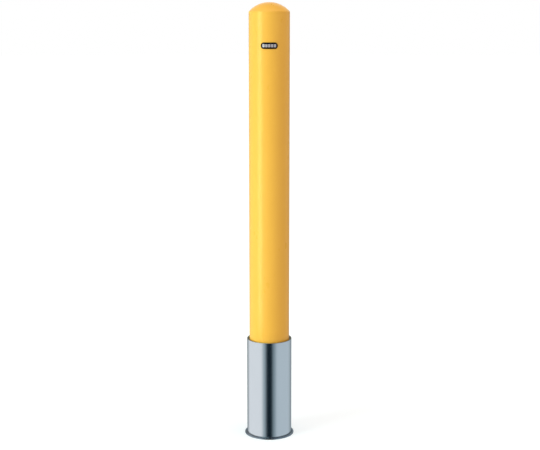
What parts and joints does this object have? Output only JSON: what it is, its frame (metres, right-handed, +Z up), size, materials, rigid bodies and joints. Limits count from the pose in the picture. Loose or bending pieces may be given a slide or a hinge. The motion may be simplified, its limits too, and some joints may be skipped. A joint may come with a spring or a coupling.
{
  "type": "removable bollard",
  "caption": "Round painted steel traffic post with a domed top and a small badge, dropped into a stainless ground sleeve on a round base plate, so that it lifts out.",
  "frame": {"origin": "on the post's axis at ground level, which is the plane of the sleeve's rim", "axes": "+Z up along the post, -Y towards the side that the badge faces, +X to the right of it as seen from there"},
  "size_m": [0.1258, 0.1258, 1.103],
  "materials": {
    "yellow_paint": "smooth semi-gloss paint",
    "badge_black": "gloss black ground with bright bars",
    "stainless": "satin, drawn along its length",
    "stainless_plate": "mill finish, darker than the tube",
    "guide_plastic": "matt"
  },
  "bodies": {
    "sleeve": {"sleeve_tube": "stainless", "base_plate": "stainless_plate", "base_weld": "stainless_plate", "upper_guide_ring": "guide_plastic", "lower_guide_ring": "guide_plastic", "locating_pin": "stainless_plate"},
    "post": {"post_tube": "yellow_paint", "dome_cap": "yellow_paint", "badge": "badge_black"}
  },
  "joints": [
    {"name": "post_lift", "type": "slide", "parent": "sleeve", "child": "post", "axis": [0, 0, 1], "range_m": [0, 0.26]}
  ]
}
